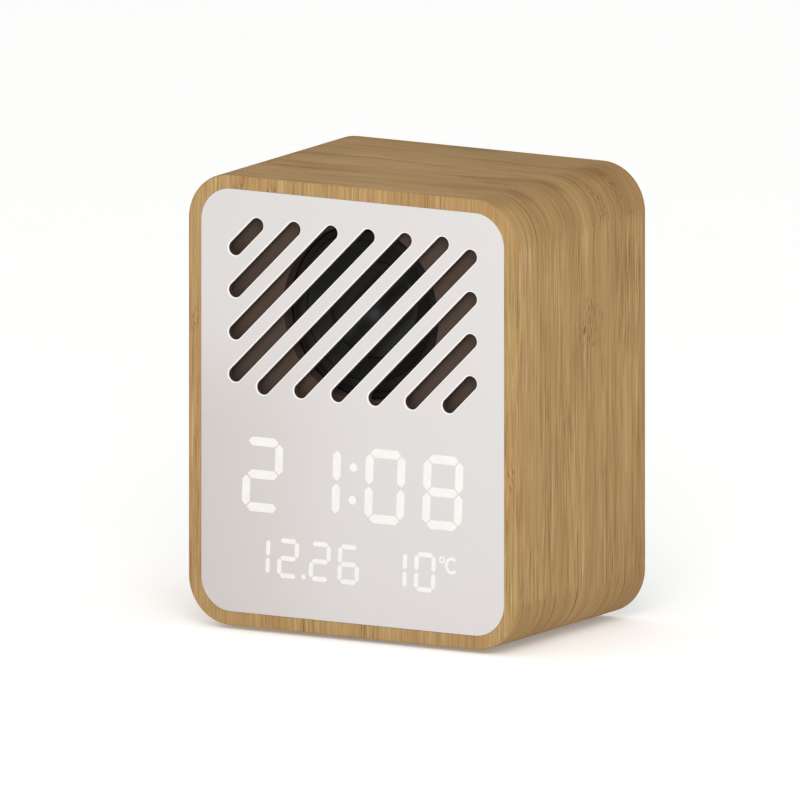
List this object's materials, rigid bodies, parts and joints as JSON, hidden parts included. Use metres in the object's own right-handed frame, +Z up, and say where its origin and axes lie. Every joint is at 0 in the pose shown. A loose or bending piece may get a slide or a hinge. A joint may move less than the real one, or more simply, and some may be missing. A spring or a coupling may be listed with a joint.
{
  "type": "alarm clock",
  "caption": "Desk alarm clock: upright round-cornered bamboo case, flush white front with diagonal speaker slots and lit digits, rear buttons, slide switch and charging socket.",
  "frame": {"origin": "centre of the object's bounding box at its lowest plane, the bottoms of the four feet", "axes": "+Z up, -Y out of the front face, +X to the right as seen from the front"},
  "size_m": [0.1, 0.068, 0.1217],
  "materials": {
    "bamboo": "satin lacquer",
    "white_panel": "satin",
    "foot_rubber": "matt",
    "chassis_plastic": "matt",
    "lit_diffuser": "matt, lit from behind",
    "black_plastic": "matt",
    "circuit_board": "solder-mask gloss",
    "bright_screw": "zinc plated",
    "dark_screw": "black oxide",
    "ribbon": "satin",
    "gasket_foam": "matt foam",
    "basket_steel": "satin black",
    "surround_rubber": "matt",
    "cone_paper": "matt paper",
    "coil_copper": "enamelled wire",
    "spider_cloth": "resin-dipped cloth",
    "motor_steel": "zinc plated",
    "ferrite": "matt sintered",
    "tag_board": "matt",
    "red_cable": "satin",
    "black_cable": "satin",
    "cover_plastic": "fine texture",
    "button_plastic": "satin",
    "plunger_plastic": "satin",
    "tinned_steel": "tinned",
    "cell_wrap": "shrink wrap gloss",
    "sensor_resin": "gloss"
  },
  "bodies": {
    "clock": {"bamboo_case": "bamboo", "front_panel": "white_panel", "chassis": "chassis_plastic", "display_diffuser": "lit_diffuser", "display_reflector": "black_plastic", "display_board": "circuit_board", "display_screw_1": "bright_screw", "display_screw_2": "bright_screw", "display_cable": "ribbon", "speaker_gasket": "gasket_foam", "speaker_basket": "basket_steel", "speaker_surround": "surround_rubber", "speaker_spider": "spider_cloth", "top_plate": "motor_steel", "magnet": "ferrite", "yoke": "motor_steel", "speaker_terminal": "tag_board", "speaker_cable": "red_cable", "rear_cover": "cover_plastic", "power_switch": "tinned_steel", "main_board": "circuit_board", "board_screw_1": "bright_screw", "board_screw_2": "bright_screw", "radio_shield": "tinned_steel", "coin_cell_holder": "black_plastic", "coin_cell": "tinned_steel", "charging_socket": "tinned_steel", "cell_tray": "black_plastic", "power_cell": "cell_wrap", "cell_cable": "black_cable", "temperature_sensor": "sensor_resin", "foot_1": "foot_rubber", "speaker_screw_1": "dark_screw", "rear_screw_1": "dark_screw", "foot_2": "foot_rubber", "speaker_screw_2": "dark_screw", "rear_screw_2": "dark_screw", "foot_3": "foot_rubber", "speaker_screw_3": "dark_screw", "rear_screw_3": "dark_screw", "foot_4": "foot_rubber", "speaker_screw_4": "dark_screw", "rear_screw_4": "dark_screw", "mode_switch": "black_plastic", "minus_switch": "black_plastic", "plus_switch": "black_plastic", "alarm_switch": "black_plastic"},
    "loudspeaker_cone": {"speaker_cone": "cone_paper", "speaker_dust_cap": "cone_paper", "voice_coil": "coil_copper"},
    "power_slider": {"power_slider": "button_plastic"},
    "mode_button": {"mode_button": "button_plastic", "mode_plunger": "plunger_plastic"},
    "minus_button": {"minus_button": "button_plastic", "minus_plunger": "plunger_plastic"},
    "plus_button": {"plus_button": "button_plastic", "plus_plunger": "plunger_plastic"},
    "alarm_button": {"alarm_button": "button_plastic", "alarm_plunger": "plunger_plastic"}
  },
  "joints": [
    {"name": "cone_travel", "type": "slide", "parent": "clock", "child": "loudspeaker_cone", "axis": [0, -1, 0], "range_m": [-0.0015, 0.0015], "stiffness_N_per_m": 2200, "deforming": ["speaker_surround", "speaker_spider"]},
    {"name": "mode_press", "type": "slide", "parent": "clock", "child": "mode_button", "axis": [0, -1, 0], "range_m": [0, 0.0006], "stiffness_N_per_m": 3300},
    {"name": "minus_press", "type": "slide", "parent": "clock", "child": "minus_button", "axis": [0, -1, 0], "range_m": [0, 0.0006], "stiffness_N_per_m": 3300},
    {"name": "plus_press", "type": "slide", "parent": "clock", "child": "plus_button", "axis": [0, -1, 0], "range_m": [0, 0.0006], "stiffness_N_per_m": 3300},
    {"name": "alarm_press", "type": "slide", "parent": "clock", "child": "alarm_button", "axis": [0, -1, 0], "range_m": [0, 0.0006], "stiffness_N_per_m": 3300},
    {"name": "power_slide", "type": "slide", "parent": "clock", "child": "power_slider", "axis": [1, 0, 0], "range_m": [0, 0.0025]}
  ]
}
